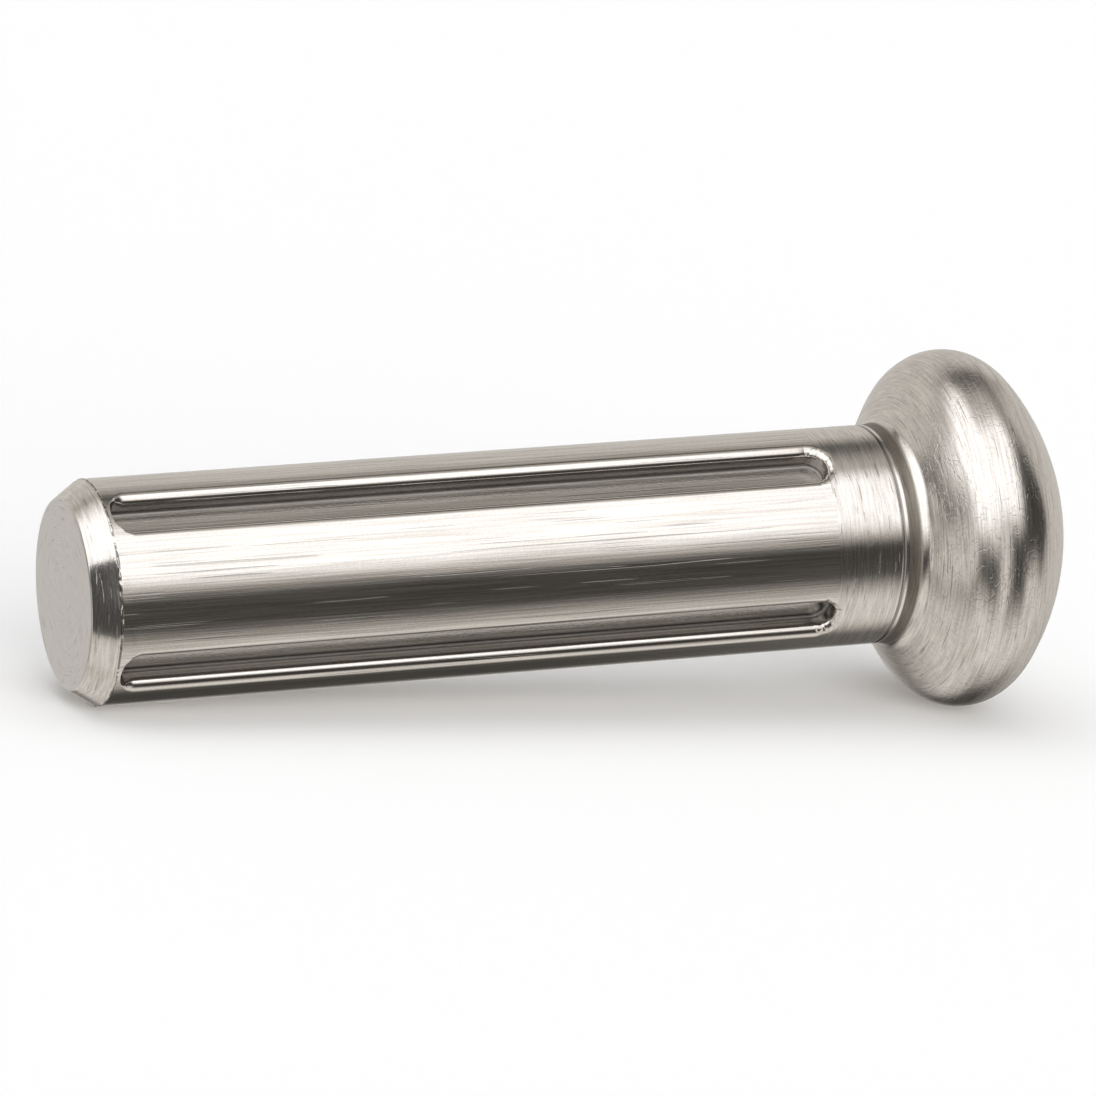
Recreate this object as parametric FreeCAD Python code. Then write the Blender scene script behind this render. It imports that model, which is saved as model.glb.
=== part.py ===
import FreeCAD, Part
import math
import os

# A round head grooved pin, turned from one bar and milled with grooves along its shank.
# Millimetres. The origin is the centre of the flat end of the tip, and +Z runs along the axis to the head.

# Driving dimensions of the turned form
SHANK_DIAMETER = 10.0
LENGTH_UNDER_HEAD = 39.0
TIP_FLAT_DIAMETER = 8.4
TIP_CHAMFER_LENGTH = 1.15
HEAD_DIAMETER = 16.4
HEAD_HEIGHT = 8.0
HEAD_RIM_RADIUS = 2.5
HEAD_UNDERSIDE_RADIUS = 12.0
NECK_FILLET_RADIUS = 0.8

# Driving dimensions of the milled grooves
GROOVE_COUNT = 4
GROOVE_WIDTH = 1.6
GROOVE_DEPTH = 1.0
GROOVE_EDGE_RADIUS = 0.4
GROOVE_TIP_RADIUS = 1.8
GROOVE_TO_CHAMFER = 0.2
GROOVE_TO_HEAD = 4.0
FIRST_GROOVE_ANGLE = 45.0

FULL_TURN = 360.0
TOLERANCE = 0.001

SHANK_RADIUS = SHANK_DIAMETER / 2
HEAD_RADIUS = HEAD_DIAMETER / 2
OVERALL_LENGTH = LENGTH_UNDER_HEAD + HEAD_HEIGHT

AXIS_POINT = FreeCAD.Vector(0, 0, 0)
AXIS = FreeCAD.Vector(0, 0, 1)


def in_section(radius, height):
    """A point of the half section, which lies in the XZ plane."""
    return FreeCAD.Vector(radius, 0, height)


def on_circle(centre, radius, angle):
    """The point of a section circle at an angle in radians, counted from straight outwards towards the head."""
    return in_section(centre.x + radius * math.cos(angle), centre.z + radius * math.sin(angle))


def arc_between(centre, radius, start_angle, end_angle):
    """The arc of a section circle from one angle to another."""
    middle = (start_angle + end_angle) / 2
    start = on_circle(centre, radius, start_angle)
    end = on_circle(centre, radius, end_angle)
    return Part.Arc(start, on_circle(centre, radius, middle), end).toShape()


def head_section():
    """The tangent arcs of the neck fillet, the underside, the rim and the dome, from the shank to the axis.

    The underside and the dome are parts of spheres centred on the axis. The rim's circle lies inside both
    and touches them, so their centres are as far apart as their radii differ. The fillet's circle lies
    outside the underside's and touches it and the shank.
    """
    rim_centre_radius = HEAD_RADIUS - HEAD_RIM_RADIUS

    underside_drop = math.sqrt(HEAD_UNDERSIDE_RADIUS ** 2 - SHANK_RADIUS ** 2)
    underside_centre = in_section(0, LENGTH_UNDER_HEAD + underside_drop)

    rim_drop = math.sqrt((HEAD_UNDERSIDE_RADIUS - HEAD_RIM_RADIUS) ** 2 - rim_centre_radius ** 2)
    rim_centre = in_section(rim_centre_radius, underside_centre.z - rim_drop)

    rise = OVERALL_LENGTH - rim_centre.z
    dome_radius = (rise ** 2 - HEAD_RIM_RADIUS ** 2 + rim_centre_radius ** 2) / (2 * (rise - HEAD_RIM_RADIUS))
    dome_centre = in_section(0, OVERALL_LENGTH - dome_radius)

    fillet_centre_radius = SHANK_RADIUS + NECK_FILLET_RADIUS
    fillet_drop = math.sqrt((HEAD_UNDERSIDE_RADIUS + NECK_FILLET_RADIUS) ** 2 - fillet_centre_radius ** 2)
    fillet_centre = in_section(fillet_centre_radius, underside_centre.z - fillet_drop)

    fillet_end = math.atan2(fillet_drop, -fillet_centre_radius)
    underside_start = fillet_end - math.pi
    underside_end = -math.atan2(rim_drop, rim_centre_radius)
    dome_start = math.atan2(rim_centre.z - dome_centre.z, rim_centre_radius)

    return [
        arc_between(fillet_centre, NECK_FILLET_RADIUS, math.pi, fillet_end),
        arc_between(underside_centre, HEAD_UNDERSIDE_RADIUS, underside_start, underside_end),
        arc_between(rim_centre, HEAD_RIM_RADIUS, underside_end, dome_start),
        arc_between(dome_centre, dome_radius, dome_start, math.pi / 2),
    ]


def turned_body():
    """The whole pin before milling: the half section turned once round the axis."""
    head = head_section()
    neck = in_section(SHANK_RADIUS, head[0].BoundBox.ZMin)
    top = in_section(0, OVERALL_LENGTH)
    tip_centre = in_section(0, 0)
    tip_corner = in_section(TIP_FLAT_DIAMETER / 2, 0)
    shank_corner = in_section(SHANK_RADIUS, TIP_CHAMFER_LENGTH)
    straight = [
        Part.makeLine(tip_centre, tip_corner),
        Part.makeLine(tip_corner, shank_corner),
        Part.makeLine(shank_corner, neck),
    ]
    axis_line = [Part.makeLine(top, tip_centre)]
    section = Part.Face(Part.Wire(straight + head + axis_line))
    body = section.revolve(AXIS_POINT, AXIS, FULL_TURN)
    # The seam of the turned faces is put midway between two grooves.
    body.rotate(AXIS_POINT, AXIS, FIRST_GROOVE_ANGLE + FULL_TURN / GROOVE_COUNT / 2)
    return body


def tip_bow():
    """How far the bowed end of a groove by the tip reaches past the ends of its straight sides."""
    return GROOVE_TIP_RADIUS - math.sqrt(GROOVE_TIP_RADIUS ** 2 - (GROOVE_WIDTH / 2) ** 2)


def groove_outline(floor_radius, start, end):
    """The groove's flat floor seen from outside: straight sides, a half circle at the end by the head,
    as the mill leaves it, and a shallow bow at the end by the tip."""
    half = GROOVE_WIDTH / 2

    def on_floor(across, along):
        return FreeCAD.Vector(floor_radius, across, along)

    left_foot = on_floor(-half, start + tip_bow())
    right_foot = on_floor(half, start + tip_bow())
    left_top = on_floor(-half, end - half)
    right_top = on_floor(half, end - half)
    edges = [
        Part.makeLine(left_foot, left_top),
        Part.Arc(left_top, on_floor(0, end), right_top).toShape(),
        Part.makeLine(right_top, right_foot),
        Part.Arc(right_foot, on_floor(0, start), left_foot).toShape(),
    ]
    return Part.Face(Part.Wire(edges))


def groove_cutter(start, end):
    """What the mill takes away for the groove on +X."""
    outline = groove_outline(SHANK_RADIUS - GROOVE_DEPTH, start, end)
    return outline.extrude(FreeCAD.Vector(2 * GROOVE_DEPTH, 0, 0))


def rounded_mouth_edges(body, start, end):
    """The edges where a groove's sides and its end by the head meet the round of the shank.
    The edge by the tip stays sharp, because only a thin lip of metal stands between it and the chamfer."""
    tip_edge_top = start + tip_bow()
    found = []
    for edge in body.Edges:
        box = edge.BoundBox
        by_groove = box.ZMin > start - TOLERANCE and box.ZMax < end + TOLERANCE
        past_tip_edge = box.ZMax > tip_edge_top + TOLERANCE
        middle = edge.valueAt((edge.FirstParameter + edge.LastParameter) / 2)
        on_shank = abs(math.hypot(middle.x, middle.y) - SHANK_RADIUS) < TOLERANCE
        if by_groove and past_tip_edge and on_shank:
            found.append(edge)
    return found


def grooved_pin():
    """The turned body with its grooves milled and their mouths rounded."""
    start = TIP_CHAMFER_LENGTH + GROOVE_TO_CHAMFER
    end = LENGTH_UNDER_HEAD - GROOVE_TO_HEAD
    body = turned_body()
    cutter = groove_cutter(start, end)
    for i in range(GROOVE_COUNT):
        tool = cutter.copy()
        tool.rotate(AXIS_POINT, AXIS, FIRST_GROOVE_ANGLE + i * FULL_TURN / GROOVE_COUNT)
        body = body.cut(tool)
    rounded = body.makeFillet(GROOVE_EDGE_RADIUS, rounded_mouth_edges(body, start, end))
    return rounded.Solids[0]


os.makedirs("parts", exist_ok=True)
grooved_pin().exportStep("parts/grooved_pin.step")
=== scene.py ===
import math
import bpy
import numpy as np
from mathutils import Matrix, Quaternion, Vector


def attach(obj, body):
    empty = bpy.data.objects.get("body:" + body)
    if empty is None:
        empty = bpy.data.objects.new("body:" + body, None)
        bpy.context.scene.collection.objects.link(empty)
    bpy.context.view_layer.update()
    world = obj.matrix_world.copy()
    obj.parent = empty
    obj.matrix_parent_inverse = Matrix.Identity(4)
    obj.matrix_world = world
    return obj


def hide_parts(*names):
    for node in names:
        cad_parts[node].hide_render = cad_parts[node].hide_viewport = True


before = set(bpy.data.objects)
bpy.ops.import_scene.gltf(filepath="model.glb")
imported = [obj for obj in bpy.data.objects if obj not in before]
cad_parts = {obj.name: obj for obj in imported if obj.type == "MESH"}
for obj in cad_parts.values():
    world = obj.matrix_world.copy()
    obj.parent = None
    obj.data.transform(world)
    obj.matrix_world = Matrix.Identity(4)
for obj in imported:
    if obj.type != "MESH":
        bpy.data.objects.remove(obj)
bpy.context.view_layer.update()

# The pin is one piece of stainless steel. It is turned from a bar: the faced tip with its chamfer, the shank,
# the neck fillet and the thick rounded head. Then an end mill cuts four grooves along the shank, which is
# brushed lengthwise over the grooved length. All sizes here are in millimetres.
MM = 0.001

SHANK_RADIUS = 5.0
OVERALL_LENGTH = 47.0
LENGTH_UNDER_HEAD = 39.0
TIP_FLAT_RADIUS = 4.2
TIP_CHAMFER_LENGTH = 1.15
HEAD_RADIUS = 8.2
RIM_RADIUS = 2.5
UNDERSIDE_RADIUS = 12.0
NECK_FILLET_RADIUS = 0.8
EDGE_BREAK = 0.09
BURR_HEIGHT = 0.05
BURR_HALF_WIDTH = 0.035
NECK_RING = 37.96
NECK_RING_DEPTH = 0.03
NECK_RING_HALF_WIDTH = 0.05

GROOVE_COUNT = 4
FIRST_GROOVE_ANGLE = math.radians(45)
GROOVE_HALF_WIDTH = 0.8
GROOVE_FLOOR_RADIUS = 4.0
GROOVE_START = TIP_CHAMFER_LENGTH + 0.2
GROOVE_END = LENGTH_UNDER_HEAD - 4.0
GROOVE_CORNER = 0.35
GROOVE_TIP_RADIUS = 1.8
MOUTH_RADIUS = 0.4
MOUTH_RADIUS_AT_TIP = 0.04
SHARP_MOUTH_LENGTH = 0.6
SHARP_MOUTH_FADE = 0.4
NICKED_MOUTH_LENGTH = 1.4
NICKED_MOUTH_FADE = 0.8
NICK_DEPTH = 0.16
FLOOR_FILLET = 0.1

LAND_START = TIP_CHAMFER_LENGTH + EDGE_BREAK
LAND_END = 36.6

COLUMNS_PER_GROOVE = 80
STEPS_ALONG_GROOVE = 90
LAND_LOOPS = 14
ON_LAND = 4.0


def arc(centre, radius, start, end, steps):
    """Points of a section circle: centre + radius * (cos a, sin a), with a running evenly to the end."""
    a = np.linspace(start, end, steps + 1)
    return np.column_stack([centre[0] + radius * np.cos(a), centre[1] + radius * np.sin(a)])


def line(start, end, steps):
    """Evenly spaced points of a straight line in the section."""
    t = np.linspace(0.0, 1.0, steps + 1)[:, None]
    return np.array(start) * (1 - t) + np.array(end) * t


def tip_section():
    """Section of the tip as (radius, height), from the axis out to the shank: the faced end, the chamfer, and
    a small round where two of them meet, drawn as the quadratic curve that the corner point pulls."""
    corner = np.array([TIP_FLAT_RADIUS, 0.0])
    shoulder = np.array([SHANK_RADIUS, TIP_CHAMFER_LENGTH])
    slope = (shoulder - corner) / np.linalg.norm(shoulder - corner)
    t = np.linspace(0.0, 1.0, 9)[:, None]

    def eased(point, before, after):
        start = point + before * EDGE_BREAK
        end = point + after * EDGE_BREAK
        return start * (1 - t) ** 2 + 2 * point * t * (1 - t) + end * t ** 2

    inner = eased(corner, np.array([-1.0, 0.0]), slope)
    outer = eased(shoulder, -slope, np.array([0.0, 1.0]))
    face = line((0.0, 0.0), inner[0], 9)
    chamfer = line(inner[-1], outer[0], 12)
    return np.vstack([face[:-1], inner, chamfer[1:-1], outer])


def underside_middle():
    """Centre of the underside's circle in the section. It lies on the axis, and the circle would meet the
    shank at the length under the head if there were no neck fillet."""
    return np.array([0.0, LENGTH_UNDER_HEAD + math.sqrt(UNDERSIDE_RADIUS ** 2 - SHANK_RADIUS ** 2)])


def rim_middle():
    """Centre of the rim's circle in the section. The circle lies inside the underside's and touches it."""
    reach = HEAD_RADIUS - RIM_RADIUS
    drop = math.sqrt((UNDERSIDE_RADIUS - RIM_RADIUS) ** 2 - reach ** 2)
    return np.array([reach, underside_middle()[1] - drop])


def head_section():
    """Section of the neck and head as (radius, height), from the top of the grooved length to the axis.
    Each arc touches the next: neck fillet, convex underside, round rim and flat dome."""
    under_centre = underside_middle()
    rim_centre = rim_middle()
    rim_reach = rim_centre[0]
    rise = OVERALL_LENGTH - rim_centre[1]
    dome_radius = (rise ** 2 - RIM_RADIUS ** 2 + rim_reach ** 2) / (2 * (rise - RIM_RADIUS))
    dome_centre = np.array([0.0, OVERALL_LENGTH - dome_radius])
    fillet_reach = SHANK_RADIUS + NECK_FILLET_RADIUS
    fillet_drop = math.sqrt((UNDERSIDE_RADIUS + NECK_FILLET_RADIUS) ** 2 - fillet_reach ** 2)
    fillet_centre = np.array([fillet_reach, under_centre[1] - fillet_drop])
    fillet_end = math.atan2(fillet_drop, -fillet_reach)
    under_end = -math.atan2(under_centre[1] - rim_centre[1], rim_reach)
    dome_start = math.atan2(rim_centre[1] - dome_centre[1], rim_reach)
    neck = line((SHANK_RADIUS, LAND_END), (SHANK_RADIUS, fillet_centre[1]), 60)
    neck[:, 0] -= NECK_RING_DEPTH * np.exp(-((neck[:, 1] - NECK_RING) / NECK_RING_HALF_WIDTH) ** 2)
    neck[[0, -1], 0] = SHANK_RADIUS
    fillet = arc(fillet_centre, NECK_FILLET_RADIUS, math.pi, fillet_end, 10)
    under = arc(under_centre, UNDERSIDE_RADIUS, fillet_end - math.pi, under_end, 16)
    rim = arc(rim_centre, RIM_RADIUS, under_end, dome_start, 34)
    dome = arc(dome_centre, dome_radius, dome_start, math.pi / 2, 16)
    return np.vstack([neck[:-1], fillet[:-1], under[:-1], rim[:-1], dome])


def section_lengths(section):
    """Running length along a section, from its first point to each of its points."""
    steps = np.linalg.norm(np.diff(section, axis=0), axis=1)
    return np.concatenate([[0.0], np.cumsum(steps)])


def groove_outline():
    """Half of a groove's outline on the shank, as (across, along) from the middle of its tip end to the
    middle of its head end, with the outward normal of each point. The tip end is a shallow bow with a rounded
    corner, the side is straight, and the head end is a quarter circle."""
    inner = GROOVE_HALF_WIDTH - GROOVE_CORNER
    bow_reach = GROOVE_TIP_RADIUS - GROOVE_CORNER
    bow_turn = math.asin(inner / bow_reach)
    bow_centre = GROOVE_START + GROOVE_TIP_RADIUS
    corner_along = bow_centre - bow_reach * math.cos(bow_turn)
    end_along = GROOVE_END - GROOVE_HALF_WIDTH
    cells = COLUMNS_PER_GROOVE // 2
    bow_cells = cells * 2 // 5
    a = np.linspace(-math.pi / 2, bow_turn - math.pi / 2, bow_cells + 1)
    bow_normal = np.column_stack([np.cos(a), np.sin(a)])
    bow = np.array([0.0, bow_centre]) + GROOVE_TIP_RADIUS * bow_normal
    a = np.linspace(bow_turn - math.pi / 2, 0.0, cells - bow_cells + 1)[1:]
    corner_normal = np.column_stack([np.cos(a), np.sin(a)])
    corner = np.array([inner, corner_along]) + GROOVE_CORNER * corner_normal
    side = line((GROOVE_HALF_WIDTH, corner_along), (GROOVE_HALF_WIDTH, end_along), STEPS_ALONG_GROOVE)[1:]
    side_normal = np.tile([1.0, 0.0], (STEPS_ALONG_GROOVE, 1))
    a = np.linspace(0.0, math.pi / 2, cells + 1)[1:]
    end_normal = np.column_stack([np.cos(a), np.sin(a)])
    end = np.array([0.0, end_along]) + GROOVE_HALF_WIDTH * end_normal
    points = np.vstack([bow, corner, side, end])
    normals = np.vstack([bow_normal, corner_normal, side_normal, end_normal])
    return points, normals


def land_border():
    """Half of the border of a groove's quarter of the shank, as (angle from the groove, height), point for
    point with the outline: out along the chamfer, up the side, and back along the neck."""
    cells = COLUMNS_PER_GROOVE // 2
    half = math.pi / GROOVE_COUNT
    out = line((0.0, LAND_START), (half, LAND_START), cells)
    up = line((half, LAND_START), (half, LAND_END), STEPS_ALONG_GROOVE)[1:]
    back = line((half, LAND_END), (0.0, LAND_END), cells)[1:]
    return np.vstack([out, up, back])


def mirrored(half, signs):
    """A whole loop from its right half: the left half is the same points in reverse with the given signs."""
    return np.vstack([half, half[-2:0:-1] * np.array(signs)])


def ripple(count, knots, seed):
    """A smooth random wave round a closed loop, between -1 and 1: random knots joined by cosine steps."""
    values = np.random.default_rng(seed).uniform(-1.0, 1.0, knots)
    place = np.arange(count) * knots / count
    k = place.astype(int)
    t = (1 - np.cos(math.pi * (place - k))) / 2
    return values[k % knots] * (1 - t) + values[(k + 1) % knots] * t


def groove_loops(seed):
    """Closed loops of a groove on +X, from the edge of its floor to the border of its quarter of the shank,
    and the place of each loop across the groove: 0 on the floor, 1 to 2 up the wall, 2 to 3 round the mouth,
    and 4 on the land. The floor rounds up into the wall, the wall goes straight out, the mouth is the surface
    of a ball rolled along wall and shank, and the land blends between the mouth and the border in angle and
    height, in steps that grow away from the mouth."""
    points, normals = groove_outline()
    points = mirrored(points, (-1.0, 1.0))
    normals = mirrored(normals, (-1.0, 1.0))
    border = mirrored(land_border(), (-1.0, 1.0))
    count = len(points)
    height = points[:, 1]

    near_tip = np.clip((GROOVE_START + SHARP_MOUTH_LENGTH - height) / SHARP_MOUTH_FADE, 0.0, 1.0)
    near_tip = near_tip * near_tip * (3 - 2 * near_tip)
    near_head = np.clip((height - GROOVE_END + NICKED_MOUTH_LENGTH) / NICKED_MOUTH_FADE, 0.0, 1.0)
    nicks = ripple(count, 100, seed) * 0.5 + ripple(count, 53, seed + 1) * 0.5
    mouth = MOUTH_RADIUS * (1 - near_tip) + MOUTH_RADIUS_AT_TIP * near_tip
    mouth = mouth * (1 + NICK_DEPTH * nicks * near_head)

    loops, places = [], []
    for a, place in zip(np.linspace(0.0, math.pi / 2, 4), (0.0, 0.4, 0.8, 1.0)):
        inset = FLOOR_FILLET * (1 - math.sin(a))
        across = points - normals * inset
        out = np.full(count, GROOVE_FLOOR_RADIUS + FLOOR_FILLET * (1 - math.cos(a)))
        loops.append(np.column_stack([out, across]))
        places.append(place)

    ball = points + normals * mouth[:, None]
    ball_out = np.sqrt((SHANK_RADIUS - mouth) ** 2 - ball[:, 0] ** 2)
    wall_foot = GROOVE_FLOOR_RADIUS + FLOOR_FILLET
    for t in (0.33, 0.67):
        loops.append(np.column_stack([wall_foot * (1 - t) + ball_out * t, points]))
        places.append(1 + t)

    centre = np.column_stack([ball_out, ball])
    to_wall = np.column_stack([np.zeros(count), -normals])
    to_shank = np.column_stack([ball_out, ball[:, 0], np.zeros(count)]) / (SHANK_RADIUS - mouth)[:, None]
    turn = np.arccos(np.clip((to_wall * to_shank).sum(axis=1), -1.0, 1.0))
    for t in np.linspace(0.0, 1.0, 9):
        a = np.sin((1 - t) * turn) / np.sin(turn)
        b = np.sin(t * turn) / np.sin(turn)
        loops.append(centre + mouth[:, None] * (to_wall * a[:, None] + to_shank * b[:, None]))
        places.append(2 + t)

    edge = loops[-1]
    edge_angle = np.arctan2(edge[:, 1], edge[:, 0])
    land_steps = np.linspace(0.0, 1.0, LAND_LOOPS + 1)[1:] ** 1.6
    for t in land_steps:
        angle = edge_angle * (1 - t) + border[:, 0] * t
        along = edge[:, 2] * (1 - t) + border[:, 1] * t
        loops.append(np.column_stack([SHANK_RADIUS * np.cos(angle), SHANK_RADIUS * np.sin(angle), along]))
    places += [3.5] + [ON_LAND] * (LAND_LOOPS - 1)
    return np.array(loops), np.array(places)


def grid_faces(first, rows, columns, closed):
    """Four-sided faces of a grid of points numbered row by row from first; the last column joins the first
    one when the grid is closed round."""
    row = np.arange(rows - 1)[:, None] * columns
    column = np.arange(columns if closed else columns - 1)[None, :]
    following = (column + 1) % columns
    corners = [row + column, row + following, row + columns + following, row + columns + column]
    return first + np.stack(corners, axis=-1).reshape(-1, 4)


def ladder(loop, steps):
    """Rows of points across a groove's floor, each from the left half of the loop to the right half."""
    half = len(loop) // 2
    right = loop[1:half]
    left = loop[:half:-1]
    t = np.linspace(0.0, 1.0, steps + 1)[None, :, None]
    return left[:, None, :] * (1 - t) + right[:, None, :] * t


def turned(points, angle):
    """Points turned round Z by an angle."""
    c, s = math.cos(angle), math.sin(angle)
    return points @ np.array([[c, s, 0.0], [-s, c, 0.0], [0.0, 0.0, 1.0]])


def revolved(section, columns):
    """Rings of points: (r cos a, r sin a, z) for each section point (r, z) and each column angle a."""
    a = np.arange(columns) * 2 * math.pi / columns
    r = section[:, 0][:, None]
    z = np.repeat(section[:, 1][:, None], columns, axis=1)
    return np.stack([r * np.cos(a), r * np.sin(a), z], axis=-1)


def pin_mesh():
    """The whole pin as points, faces, the running section length of each point, and its place across a
    groove. Tip and head are turned sections, which count as land, and the shank between them is four quarters
    of loops round the grooves. Points that two of these share are merged afterwards."""
    columns = COLUMNS_PER_GROOVE * GROOVE_COUNT
    points, faces, lengths, places = [], [], [], []
    used = 0

    tip = tip_section()
    head = head_section()
    tip_lengths = section_lengths(tip)
    shank_length = tip_lengths[-1]
    rings = revolved(tip[1:], columns)
    # The burr's share of its height runs between -0.7 and 1.4 round the edge.
    nick = 0.35 + ripple(columns, 130, 5) * 0.65 + ripple(columns, 47, 6) * 0.4
    ring_weight = np.exp(-((tip[1:, 1] - TIP_CHAMFER_LENGTH) / BURR_HALF_WIDTH) ** 2)
    ring_weight[-1] = 0.0
    shift = BURR_HEIGHT * ring_weight[:, None] * nick[None, :]
    rings[..., :2] *= (1 + shift / SHANK_RADIUS)[..., None]
    points.append(rings.reshape(-1, 3))
    faces.append(grid_faces(used, len(rings), columns, True))
    lengths.append(np.repeat(tip_lengths[1:], columns))
    places.append(np.full(rings.shape[0] * columns, ON_LAND))
    used += rings.shape[0] * columns

    points.append(np.zeros((1, 3)))
    lengths.append(np.zeros(1))
    places.append(np.full(1, ON_LAND))
    tip_pole = used
    used += 1

    for k in range(GROOVE_COUNT):
        angle = FIRST_GROOVE_ANGLE + k * 2 * math.pi / GROOVE_COUNT
        loops, across_groove = groove_loops(20 + 2 * k)
        count = loops.shape[1]
        shape = turned(loops.reshape(-1, 3), angle)
        points.append(shape)
        lengths.append(shank_length + shape[:, 2] - LAND_START)
        places.append(np.repeat(across_groove, count))
        faces.append(grid_faces(used, len(loops), count, True)[:, ::-1])
        used += len(shape)
        rungs = ladder(loops[0], 8)
        shape = turned(rungs.reshape(-1, 3), angle)
        points.append(shape)
        lengths.append(shank_length + shape[:, 2] - LAND_START)
        places.append(np.zeros(len(shape)))
        faces.append(grid_faces(used, rungs.shape[0], rungs.shape[1], False))
        first_rung, last_rung = used, used + len(shape) - rungs.shape[1]
        used += len(shape)
        points.append(turned(loops[0][[0, count // 2]], angle))
        lengths.append(shank_length + loops[0][[0, count // 2], 2] - LAND_START)
        places.append(np.zeros(2))
        steps = np.arange(rungs.shape[1] - 1)
        bottom, top = used, used + 1
        low = np.column_stack([first_rung + steps, np.full_like(steps, bottom), first_rung + steps + 1])
        high = np.column_stack([last_rung + steps, last_rung + steps + 1, np.full_like(steps, top)])
        faces.append(np.column_stack([low, np.full(len(low), -1)]))
        faces.append(np.column_stack([high, np.full(len(high), -1)]))
        used += 2

    rings = revolved(head[:-1], columns)
    points.append(rings.reshape(-1, 3))
    faces.append(grid_faces(used, len(rings), columns, True))
    head_lengths = shank_length + LAND_END - LAND_START + section_lengths(head)
    lengths.append(np.repeat(head_lengths[:-1], columns))
    places.append(np.full(rings.shape[0] * columns + 1, ON_LAND))
    last_ring = used + (len(rings) - 1) * columns
    used += rings.shape[0] * columns
    points.append(np.array([[0.0, 0.0, OVERALL_LENGTH]]))
    lengths.append(head_lengths[-1:])
    head_pole = used

    here = np.arange(columns)
    following = (here + 1) % columns
    tip_fan = np.column_stack([following, here, np.full(columns, tip_pole), np.full(columns, -1)])
    head_fan = np.column_stack(
        [last_ring + here, last_ring + following, np.full(columns, head_pole), np.full(columns, -1)]
    )
    faces.append(tip_fan)
    faces.append(head_fan)
    return np.vstack(points), np.vstack(faces), np.concatenate(lengths), np.concatenate(places)


def add_mesh(name, points, faces):
    """A mesh object from point and face arrays; a face of three corners has -1 in its last place."""
    mesh = bpy.data.meshes.new(name)
    keep = faces >= 0
    sizes = keep.sum(axis=1)
    corners = faces[keep]
    mesh.vertices.add(len(points))
    mesh.vertices.foreach_set("co", (points * MM).ravel())
    mesh.loops.add(len(corners))
    mesh.loops.foreach_set("vertex_index", corners.astype(np.int32))
    mesh.polygons.add(len(faces))
    mesh.polygons.foreach_set("loop_start", np.concatenate([[0], np.cumsum(sizes)[:-1]]).astype(np.int32))
    mesh.update(calc_edges=True)
    mesh.validate()
    piece = bpy.data.objects.new(name, mesh)
    bpy.context.scene.collection.objects.link(piece)
    return piece


def merged(points, faces, lengths, places):
    """Points that coincide to a ten-thousandth of a millimetre become one, and the faces follow them."""
    keys = np.round(points * 1e4).astype(np.int64)
    _, first, back = np.unique(keys, axis=0, return_index=True, return_inverse=True)
    back = back.ravel()
    moved = np.where(faces >= 0, back[np.maximum(faces, 0)], -1)
    return points[first], moved, lengths[first], places[first]


points, faces, lengths, places = merged(*pin_mesh())
pin = add_mesh("pin_body", points, faces)
mesh = pin.data
along = mesh.attributes.new("section_length", "FLOAT", "POINT")
along.data.foreach_set("value", lengths)
across = mesh.attributes.new("groove_place", "FLOAT", "POINT")
across.data.foreach_set("value", places)
mesh.polygons.foreach_set("use_smooth", np.ones(len(mesh.polygons), dtype=bool))


class Wires:
    """Adds nodes to one tree and wires them: a value is a number, a vector, or another node's output."""

    def __init__(self, tree):
        self.tree = tree
        tree.nodes.clear()

    def set(self, socket, value):
        if isinstance(value, bpy.types.NodeSocket):
            self.tree.links.new(value, socket)
        else:
            socket.default_value = value

    def node(self, kind, settings=None, **inputs):
        made = self.tree.nodes.new(kind)
        for name, value in (settings or {}).items():
            setattr(made, name, value)
        for name, value in inputs.items():
            self.set(made.inputs[name.replace("_", " ")], value)
        return made

    def math(self, operation, a, b=0.0):
        made = self.tree.nodes.new("ShaderNodeMath")
        made.operation = operation
        self.set(made.inputs[0], a)
        self.set(made.inputs[1], b)
        return made.outputs[0]

    def vector(self, operation, a, b=(0.0, 0.0, 0.0)):
        made = self.tree.nodes.new("ShaderNodeVectorMath")
        made.operation = operation
        self.set(made.inputs[0], a)
        self.set(made.inputs[1], b)
        return made.outputs["Value" if operation in ("DOT_PRODUCT", "LENGTH") else "Vector"]

    def scaled(self, vector, factor):
        made = self.node("ShaderNodeVectorMath", {"operation": "SCALE"}, Scale=factor)
        self.set(made.inputs[0], vector)
        return made.outputs["Vector"]

    def blend(self, factor, a, b):
        """The number a where the factor is 0, and b where it is 1."""
        made = self.tree.nodes.new("ShaderNodeMix")
        self.set(made.inputs["Factor"], factor)
        self.set(made.inputs["A"], a)
        self.set(made.inputs["B"], b)
        return made.outputs["Result"]

    def step(self, value, low, high):
        """A smooth change from 0 at low to 1 at high; low may also be the greater of the two."""
        made = self.node("ShaderNodeMapRange", {"interpolation_type": "SMOOTHSTEP"}, Value=value)
        made.inputs["From Min"].default_value = min(low, high)
        made.inputs["From Max"].default_value = max(low, high)
        made.inputs["To Min"].default_value = float(low > high)
        made.inputs["To Max"].default_value = float(low < high)
        return made.outputs["Result"]

    def curve(self, value, stops):
        """The level of a value, in straight runs between stops: each gives a value and its level up to 2."""
        first, last = stops[0][0], stops[-1][0]
        made = self.node("ShaderNodeValToRGB")
        self.set(made.inputs["Fac"], self.math("DIVIDE", self.math("SUBTRACT", value, first), last - first))
        ramp = made.color_ramp
        while len(ramp.elements) < len(stops):
            ramp.elements.new(0.5)
        for element, (place, level) in zip(ramp.elements, stops):
            element.position = (place - first) / (last - first)
            element.color = (level / 2, level / 2, level / 2, 1)
        return self.math("MULTIPLY", made.outputs["Color"], 2.0)

    def noise(self, vector, scale, detail, roughness=0.5):
        made = self.node("ShaderNodeTexNoise", Vector=vector, Scale=scale, Detail=detail, Roughness=roughness)
        return made.outputs["Fac"]


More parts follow.
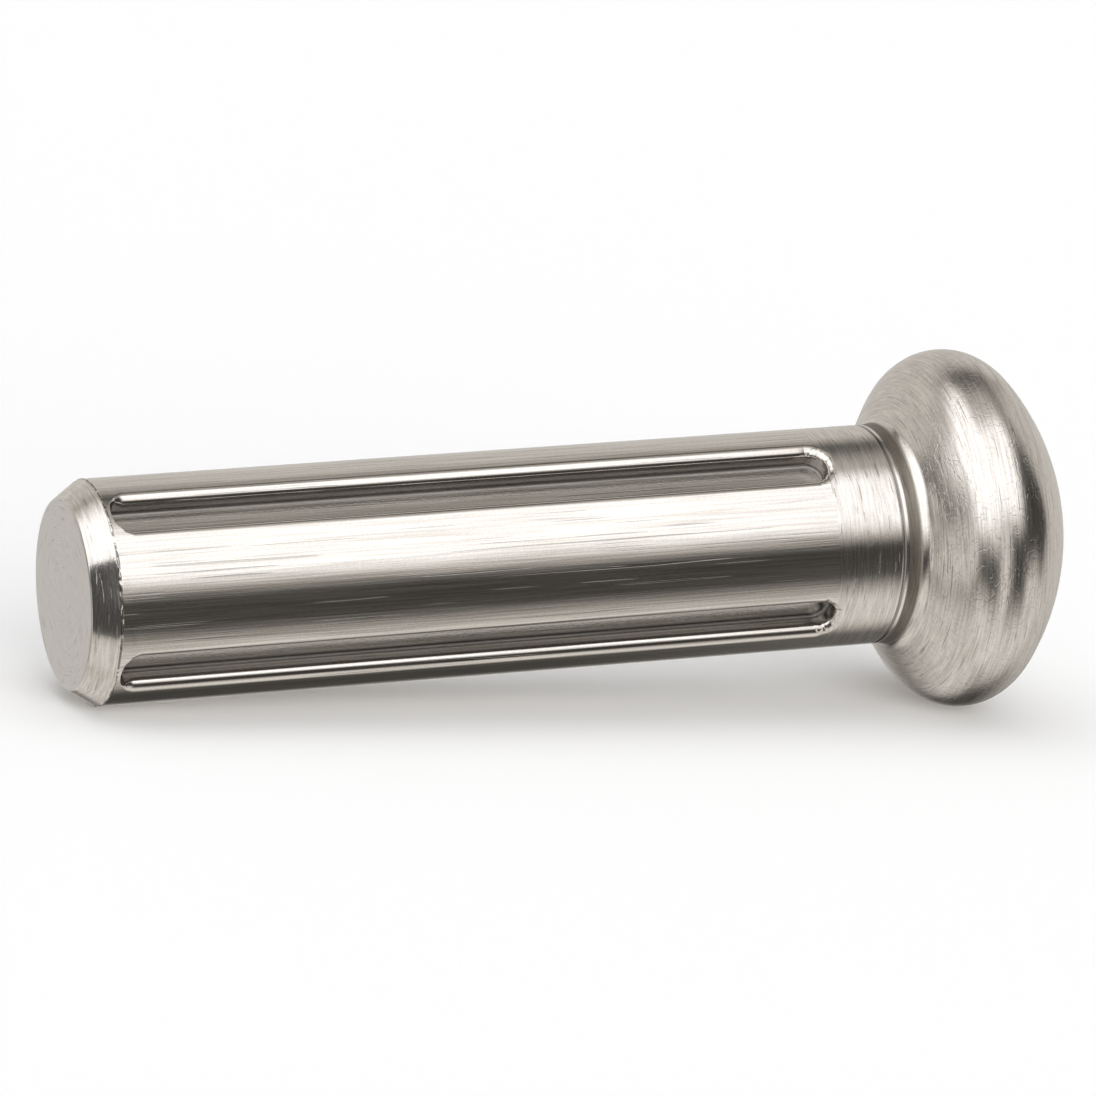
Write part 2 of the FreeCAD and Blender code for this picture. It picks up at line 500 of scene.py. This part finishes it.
# Where the finish changes along the pin. The lengthwise brushing runs from the chamfer to the grooves' ends
# by the head. The neck's stops are heights and their level: painted shade in the turned ring, a painted
# highlight line above it, and the dull band, which is the steel's own darker tone.
BRUSH_START = TIP_CHAMFER_LENGTH
BRUSH_END = GROOVE_END - 0.02
BAND_START = 38.22
BAND_END = 38.72
NECK_PAINTED_LIGHT_AND_BAND = [
    (NECK_RING - 0.08, 1.0),
    (NECK_RING - 0.02, 0.35),
    (NECK_RING + 0.06, 0.45),
    (NECK_RING + 0.12, 1.1),
    (BAND_START - 0.06, 1.1),
    (BAND_START, 0.34),
    (BAND_END, 0.34),
    (BAND_END + 0.14, 1.0),
]


def steel_finish():
    """Bare stainless steel. Brush lines run along the grooved length and round the neck, the head and the
    chamfer, and a few deeper cuts lie among them. The groove floors are grainy from the mill, the head has
    fine creases, the band at its foot is dull and warm, and the faced tip is matt with faint rings. Painted
    shade darkens the grooves' floors, walls and corners and the neck's turned ring, and a painted highlight
    line runs round the neck."""
    material = bpy.data.materials.new("turned_steel")
    material.use_nodes = True
    w = Wires(material.node_tree)
    place = w.scaled(w.node("ShaderNodeTexCoord").outputs["Object"], 1 / MM)
    parts = w.node("ShaderNodeSeparateXYZ", Vector=place)
    x, y, z = parts.outputs[0], parts.outputs[1], parts.outputs[2]
    flat = w.node("ShaderNodeCombineXYZ", X=x, Y=y).outputs[0]
    heading = w.vector("NORMALIZE", flat)
    running = w.node("ShaderNodeAttribute", {"attribute_name": "section_length"}).outputs["Fac"]
    groove = w.node("ShaderNodeAttribute", {"attribute_name": "groove_place"}).outputs["Fac"]

    brush_end = w.math("ADD", z, w.math("MULTIPLY", w.noise(place, 1.3, 2), 0.25))
    before_end = w.step(brush_end, BRUSH_END, BRUSH_END - 0.12)
    lengthwise = w.math("MULTIPLY", w.step(z, BRUSH_START, BRUSH_START + 0.1), before_end)
    on_floor = w.step(groove, 1.1, 0.9)
    in_corner = w.math("MULTIPLY", w.step(groove, 0.02, 0.2), w.step(groove, 1.3, 1.0))
    on_wall = w.math("MULTIPLY", w.step(groove, 0.9, 1.1), w.step(groove, 2.3, 2.0))
    on_mouth = w.math("MULTIPLY", w.step(groove, 2.0, 2.3), w.step(groove, 3.4, 3.0))
    faced = w.step(z, 0.05, 0.01)
    in_band = w.step(z, BAND_START - 0.04, BAND_START + 0.02)
    in_band = w.math("MULTIPLY", in_band, w.step(z, BAND_END + 0.14, BAND_END + 0.02))
    on_head = w.step(z, LENGTH_UNDER_HEAD - 0.4, LENGTH_UNDER_HEAD + 0.6)
    by_lip = w.step(z, TIP_CHAMFER_LENGTH - 0.06, TIP_CHAMFER_LENGTH - 0.02)
    by_lip = w.math("MULTIPLY", by_lip, w.step(z, TIP_CHAMFER_LENGTH + 0.07, TIP_CHAMFER_LENGTH + 0.02))
    by_lip = w.math("MULTIPLY", by_lip, w.step(w.noise(place, 2.6, 2), 0.42, 0.5))

    def rings(pitch, wander, detail):
        step = w.node("ShaderNodeCombineXYZ", Z=w.math("DIVIDE", running, pitch)).outputs[0]
        return w.noise(w.vector("ADD", w.scaled(heading, wander), step), 1.0, detail, 0.6)

    def strokes(width, length, detail):
        stretch = (1 / width, 1 / width, 1 / length)
        return w.noise(w.vector("MULTIPLY", place, stretch), 1.0, detail, 0.6)

    fine = w.blend(lengthwise, rings(0.08, 4.0, 1), strokes(0.07, 6.0, 1))
    broad = w.blend(lengthwise, rings(0.16, 2.5, 2), strokes(0.2, 14.0, 2))
    turned_cuts = w.step(rings(0.10, 3.0, 1), 0.66, 0.71)
    brushed_cuts = w.step(strokes(0.11, 10.0, 1), 0.66, 0.71)
    cuts = w.blend(lengthwise, turned_cuts, brushed_cuts)
    specks = w.noise(place, 11.0, 2, 0.6)
    grain = w.noise(place, 8.0, 3, 0.7)
    wrinkle = w.noise(w.vector("MULTIPLY", place, (1.0, 1.0, 1.6)), 3.0, 3, 0.65)
    elsewhere = w.vector("ADD", place, (31.0, 7.0, 5.0))
    off_crease = w.math("ABSOLUTE", w.math("SUBTRACT", w.noise(elsewhere, 2.4, 1), 0.5))
    in_patch = w.step(w.noise(place, 1.7, 1), 0.42, 0.52)
    crease = w.math("MULTIPLY", w.step(off_crease, 0.045, 0.01), in_patch)
    creased = w.math("MAXIMUM", on_head, w.math("MULTIPLY", faced, 0.35))

    relief = w.math("ADD", w.math("MULTIPLY", fine, 0.002), w.math("MULTIPLY", broad, 0.0009))
    relief = w.math("SUBTRACT", relief, w.math("MULTIPLY", cuts, 0.0028))
    relief = w.math("MULTIPLY", relief, w.math("SUBTRACT", 1.0, w.math("MULTIPLY", faced, 0.7)))
    relief = w.math("ADD", relief, w.math("MULTIPLY", specks, 0.0012))
    relief = w.math("ADD", relief, w.math("MULTIPLY", w.math("MULTIPLY", grain, on_floor), 0.010))
    relief = w.math("ADD", relief, w.math("MULTIPLY", wrinkle, w.blend(on_head, 0.0008, 0.0045)))
    relief = w.math("SUBTRACT", relief, w.math("MULTIPLY", crease, w.blend(creased, 0.0003, 0.0028)))
    bump = w.node("ShaderNodeBump", Height=relief, Strength=1.0, Distance=MM)

    shade = w.math("ADD", w.math("MULTIPLY", fine, 0.72), w.math("MULTIPLY", specks, 0.28))
    shade = w.node("ShaderNodeValToRGB", Fac=w.blend(w.math("MULTIPLY", faced, 0.65), shade, 0.5))
    shade.color_ramp.elements[0].position = 0.34
    shade.color_ramp.elements[0].color = (0.58, 0.545, 0.51, 1)
    shade.color_ramp.elements[1].position = 0.64
    shade.color_ramp.elements[1].color = (0.81, 0.775, 0.733, 1)
    level = w.math("SUBTRACT", 1.0, w.math("MULTIPLY", cuts, 0.32))
    level = w.math("MULTIPLY", level, w.blend(w.math("MULTIPLY", crease, creased), 1.0, 0.9))
    # Painted shade in the neck's turned ring and a painted highlight line above it; the dull band is the
    # steel's own tone.
    level = w.math("MULTIPLY", level, w.curve(z, NECK_PAINTED_LIGHT_AND_BAND))
    level = w.math("MULTIPLY", level, w.blend(by_lip, 1.0, 0.3))
    # Painted shade inside the grooves: their floors, walls and the corners between them are darker.
    level = w.math("MULTIPLY", level, w.blend(on_floor, 1.0, 0.72))
    level = w.math("MULTIPLY", level, w.blend(on_wall, 1.0, 0.5))
    level = w.math("MULTIPLY", level, w.blend(in_corner, 1.0, 0.65))
    level = w.math("MULTIPLY", level, w.blend(faced, 1.0, 0.88))
    colour = w.scaled(shade.outputs["Color"], level)

    rough = w.math("ADD", 0.12, w.math("MULTIPLY", broad, 0.08))
    rough = w.math("ADD", rough, w.math("MULTIPLY", in_band, 0.32))
    rough = w.math("ADD", rough, w.math("MULTIPLY", faced, 0.2))
    rough = w.math("ADD", rough, w.math("MULTIPLY", on_head, 0.05))
    rough = w.math("ADD", rough, w.math("MULTIPLY", in_corner, 0.3))
    rough = w.math("SUBTRACT", rough, w.math("MULTIPLY", on_mouth, 0.06))
    green = w.blend(in_band, 1.0, 0.95)
    blue = w.blend(in_band, 1.0, 0.87)
    warm = w.node("ShaderNodeCombineXYZ", X=1.0, Y=green, Z=blue).outputs[0]
    colour = w.vector("MULTIPLY", colour, warm)
    steel = w.node("ShaderNodeBsdfPrincipled", Normal=bump.outputs[0], Roughness=rough)
    w.set(steel.inputs["Base Color"], colour)
    steel.inputs["Metallic"].default_value = 1.0
    w.node("ShaderNodeOutputMaterial", Surface=steel.outputs[0])
    return material


pin.data.materials.append(steel_finish())
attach(pin, "root")
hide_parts("grooved_pin")

# The studio. The photographed pin lies on its side on a white sheet, touching it with the chamfer's edge and
# with the rim of the head. So the sheet is set against the standing pin, and what is up in the picture is
# the sheet's normal. The axes of the studio are up, front towards the camera, and along the pin.
CAMERA_TURN = math.radians(-92.9)
CAMERA_HEIGHT_ANGLE = math.radians(12)
PICTURE_PITCH = math.radians(20.453)
PICTURE_YAW = math.radians(0.088)

rim_reach, rim_height = rim_middle()
contact_gap = rim_height - TIP_CHAMFER_LENGTH
reach_gap = rim_reach - SHANK_RADIUS
lean = math.atan2(reach_gap, contact_gap) + math.asin(RIM_RADIUS / math.hypot(contact_gap, reach_gap))
facing = Vector((math.cos(CAMERA_TURN), math.sin(CAMERA_TURN), 0))
upper = Vector((math.sin(CAMERA_TURN), -math.cos(CAMERA_TURN), 0))
lean_share = math.sin(PICTURE_PITCH) * math.sin(lean)
turn_share = math.cos(PICTURE_PITCH) * math.cos(lean)
tilt = math.asin((math.sin(CAMERA_HEIGHT_ANGLE) + lean_share) / turn_share)
sideways = upper * math.cos(tilt) + facing * math.sin(tilt)
up = Vector((0, 0, 1)) * math.sin(lean) + sideways * math.cos(lean)
along_pin = (Vector((0, 0, 1)) - up * up.z).normalized()
front = along_pin.cross(up)
if front.dot(facing) < 0:
    front = -front
floor_drop = SHANK_RADIUS * math.cos(lean) - TIP_CHAMFER_LENGTH * math.sin(lean)


def studio_point(along, forward, height):
    """A place in the studio in millimetres: along the pin from its tip, forward to the camera and up from
    the sheet."""
    return (along_pin * along + front * forward + up * (height - floor_drop)) * MM


def card(name, corners, material):
    """A flat four-cornered sheet of the studio."""
    mesh = bpy.data.meshes.new(name)
    mesh.from_pydata([tuple(c) for c in corners], [], [(0, 1, 2, 3)])
    made = bpy.data.objects.new(name, mesh)
    mesh.materials.append(material)
    bpy.context.scene.collection.objects.link(made)
    if mesh.polygons[0].normal.dot(up) < 0:
        mesh.flip_normals()
    return made


def floor_finish():
    """A white sheet that is seen from its upper side only and keeps the pin's shadow."""
    material = bpy.data.materials.new("white_sheet")
    material.use_nodes = True
    w = Wires(material.node_tree)
    paper = w.node("ShaderNodeBsdfDiffuse", Color=(0.985, 0.985, 0.985, 1))
    clear = w.node("ShaderNodeBsdfTransparent")
    both = w.node("ShaderNodeMixShader")
    w.set(both.inputs[0], w.node("ShaderNodeNewGeometry").outputs["Backfacing"])
    w.set(both.inputs[1], paper.outputs[0])
    w.set(both.inputs[2], clear.outputs[0])
    w.node("ShaderNodeOutputMaterial", Surface=both.outputs[0])
    return material


FLOOR_REACH = 1500
floor = card(
    "floor",
    [
        studio_point(-FLOOR_REACH, -FLOOR_REACH, 0),
        studio_point(FLOOR_REACH, -FLOOR_REACH, 0),
        studio_point(FLOOR_REACH, FLOOR_REACH, 0),
        studio_point(-FLOOR_REACH, FLOOR_REACH, 0),
    ],
    floor_finish(),
)
floor.visible_glossy = False

# The room lights only the sheet, because the metal reflects the light tent that is hung further down. The
# reaches are cosines of the angle at which the ceiling and the box begin, counted from their middle.
ROOM_LIGHT = 0.48
CEILING_LIGHT = 0.81
CEILING_REACH = 0.59
BOX_LIGHT = 5.1
BOX_REACH = 0.79
BOX_HEIGHT_ANGLE = math.radians(12)


def room_light():
    """White where the camera or a reflection sees it. The sheet is lit by the dim room, a soft ceiling and a
    soft box low in front, and their shares add up to what a plain white room would give. The room isn't
    sampled as a lamp, because such light would pass through the tent and reach the metal."""
    world = bpy.data.worlds.new("studio")
    world.use_nodes = True
    w = Wires(world.node_tree)
    box = front * math.cos(BOX_HEIGHT_ANGLE) + up * math.sin(BOX_HEIGHT_ANGLE)
    direction = w.node("ShaderNodeTexCoord").outputs["Generated"]
    above = w.step(w.vector("DOT_PRODUCT", direction, tuple(up)), CEILING_REACH, 1.0)
    in_box = w.step(w.vector("DOT_PRODUCT", direction, tuple(box)), BOX_REACH, 1.0)
    light = w.math("ADD", ROOM_LIGHT, w.math("MULTIPLY", above, CEILING_LIGHT))
    light = w.math("ADD", light, w.math("MULTIPLY", in_box, BOX_LIGHT))
    rays = w.node("ShaderNodeLightPath").outputs
    seen = w.math("MAXIMUM", rays["Is Camera Ray"], rays["Is Glossy Ray"])
    seen = w.math("MAXIMUM", seen, rays["Is Transmission Ray"])
    room = w.node("ShaderNodeBackground", Color=(1, 1, 1, 1), Strength=w.blend(seen, light, 1.0))
    w.node("ShaderNodeOutputWorld", Surface=room.outputs[0])
    world.cycles.sampling_method = "NONE"
    return world


bpy.context.scene.world = room_light()


def only_in_reflections(piece):
    """Only the metal shows the piece: the camera and the white sheet do not see it."""
    piece.visible_camera = False
    piece.visible_diffuse = False
    piece.visible_transmission = False
    piece.visible_volume_scatter = False
    piece.visible_shadow = False
    bpy.context.scene.collection.objects.link(piece)


# A light tent round the pin, which only its metal reflects. Each panel is given by its middle angle, counted
# upwards from the camera's side, its half width and soft edge, then its lowest and highest elevation towards
# the head and their soft edge, all in degrees, and its brightness. Where panels cross, the brighter shows.
# An edge that lies past 90 degrees is out of sight.
TENT_RADIUS = 400
TENT_MIDDLE = 42
TENT_HALF_LENGTH = 1600
TENT_SIDES = 96
TENT_GLOOM = 0.06

PANELS = {
    "key": (35, 35, 35, -50, 30, 20, 1.55),
    "key_spill": (60, 35, 40, -50, 30, 30, 0.6),
    "low_key": (50, 60, 50, -75, -15, 30, 1.6),
    "sheet": (-85, 30, 40, -60, 70, 20, 0.8),
    "sheet_in_front": (-50, 60, 40, -20, 0, 20, 0.9),
    "sheet_behind": (-125, 30, 40, -65, 0, 20, 0.75),
    "sheet_by_tip": (-60, 110, 60, -100, -65, 20, 0.8),
    "sheet_by_head": (-60, 30, 40, 30, 60, 20, 0.8),
    "back": (155, 40, 30, -60, 75, 20, 0.65),
    "over_head": (180, 120, 60, 30, 90, 40, 0.65),
}


def tent_finish():
    """Light of each direction from the tent's axis: gloom, or the brightest of the panels that hang there.
    Bright panels are white and dim ones a little warm."""
    material = bpy.data.materials.new("light_tent")
    material.use_nodes = True
    material.cycles.emission_sampling = "NONE"
    w = Wires(material.node_tree)
    place = w.vector("SUBTRACT", w.node("ShaderNodeTexCoord").outputs["Object"], (0, 0, TENT_MIDDLE * MM))
    flat = w.vector("MULTIPLY", place, (1.0, 1.0, 0.0))
    heading = w.vector("NORMALIZE", flat)
    z = w.node("ShaderNodeSeparateXYZ", Vector=place).outputs[2]
    elevation = w.math("ARCTAN2", z, w.vector("LENGTH", flat))
    light = TENT_GLOOM
    for angle, half_width, edge, low, high, end, level in PANELS.values():
        a = math.radians(angle)
        centre = facing * math.cos(a) + upper * math.sin(a)
        off = w.math("ARCCOSINE", w.vector("DOT_PRODUCT", heading, tuple(centre)))
        share = w.step(off, math.radians(half_width + edge / 2), math.radians(half_width - edge / 2))
        rise = w.step(elevation, math.radians(low - end / 2), math.radians(low + end / 2))
        fall = w.step(elevation, math.radians(high + end / 2), math.radians(high - end / 2))
        share = w.math("MULTIPLY", share, w.math("MULTIPLY", rise, fall))
        light = w.math("MAXIMUM", light, w.math("MULTIPLY", share, level))
    white = w.step(light, 0.4, 1.3)
    tone = w.node("ShaderNodeCombineXYZ", X=1.0, Y=w.blend(white, 0.955, 1.0), Z=w.blend(white, 0.89, 1.0))
    glow = w.node("ShaderNodeEmission", Color=tone.outputs[0], Strength=light)
    w.node("ShaderNodeOutputMaterial", Surface=glow.outputs[0])
    return material


def light_tent():
    """A closed cylinder round the pin's axis."""
    a = np.arange(TENT_SIDES) * 2 * math.pi / TENT_SIDES
    ring = np.column_stack([np.cos(a), np.sin(a), np.zeros(TENT_SIDES)]) * TENT_RADIUS
    points = np.vstack([ring - (0, 0, TENT_HALF_LENGTH), ring + (0, 0, TENT_HALF_LENGTH)]) * MM
    here = np.arange(TENT_SIDES)
    following = (here + 1) % TENT_SIDES
    walls = np.column_stack([here, following, following + TENT_SIDES, here + TENT_SIDES])
    ends = [here[::-1].tolist(), (here + TENT_SIDES).tolist()]
    mesh = bpy.data.meshes.new("light_tent")
    mesh.from_pydata(points.tolist(), [], walls.tolist() + ends)
    mesh.materials.append(tent_finish())
    return bpy.data.objects.new("light_tent", mesh)


only_in_reflections(light_tent())


# Two small cards below the tip: a nearly black one on the camera's side darkens the chamfer, and a pale one
# on the far side lights the faced end.
def tip_card(name, angle, reach, half_width, low, high, brightness):
    """An upright card that faces the tip from the given angle and distance, between two heights."""
    a = math.radians(angle)
    away = facing * math.cos(a) + upper * math.sin(a)
    aside = Vector((-away.y, away.x, 0))
    corners = [(-half_width, low), (half_width, low), (half_width, high), (-half_width, high)]
    mesh = bpy.data.meshes.new(name)
    spots = [away * reach + aside * across + Vector((0, 0, height)) for across, height in corners]
    mesh.from_pydata([tuple(spot * MM) for spot in spots], [], [(0, 1, 2, 3)])
    material = bpy.data.materials.new(name)
    material.use_nodes = True
    material.cycles.emission_sampling = "NONE"
    w = Wires(material.node_tree)
    glow = w.node("ShaderNodeEmission", Color=(1, 0.975, 0.965, 1), Strength=brightness)
    w.node("ShaderNodeOutputMaterial", Surface=glow.outputs[0])
    mesh.materials.append(material)
    return bpy.data.objects.new(name, mesh)


dark_card = tip_card("dark_card", angle=-9, reach=12, half_width=11, low=-30, high=-7, brightness=0.08)
pale_card = tip_card("tip_card", angle=180, reach=40, half_width=30, low=-40, high=-2, brightness=0.8)
only_in_reflections(dark_card)
only_in_reflections(pale_card)

# The camera looks from the tip's side, so it stands below the pin's foot in the upright frame and is rolled
# until the pin lies nearly level. Its lens is long, as the photograph's nearly parallel edges need.
CAMERA_REACH = 289.9
CAMERA_DROP = 85.4
CAMERA_ROLL = math.radians(85.7175)
PICTURE_SIZE = 1096
FOCAL_PIXELS = 6898.1

camera_data = bpy.data.cameras.new("camera")
camera_data.sensor_width = 36
camera_data.lens = FOCAL_PIXELS / PICTURE_SIZE * camera_data.sensor_width
camera_data.clip_start = 0.01
camera_data.clip_end = 10
camera = bpy.data.objects.new("camera", camera_data)
bpy.context.scene.collection.objects.link(camera)
level_look = upper * math.sin(PICTURE_YAW) - facing * math.cos(PICTURE_YAW)
look = level_look * math.cos(PICTURE_PITCH) + Vector((0, 0, math.sin(PICTURE_PITCH)))
camera.location = (facing * CAMERA_REACH - Vector((0, 0, CAMERA_DROP))) * MM
camera.rotation_mode = "QUATERNION"
camera.rotation_quaternion = look.to_track_quat("-Z", "Y") @ Quaternion((0, 0, 1), CAMERA_ROLL)
bpy.context.scene.camera = camera

bpy.context.scene.view_settings.view_transform = "Standard"
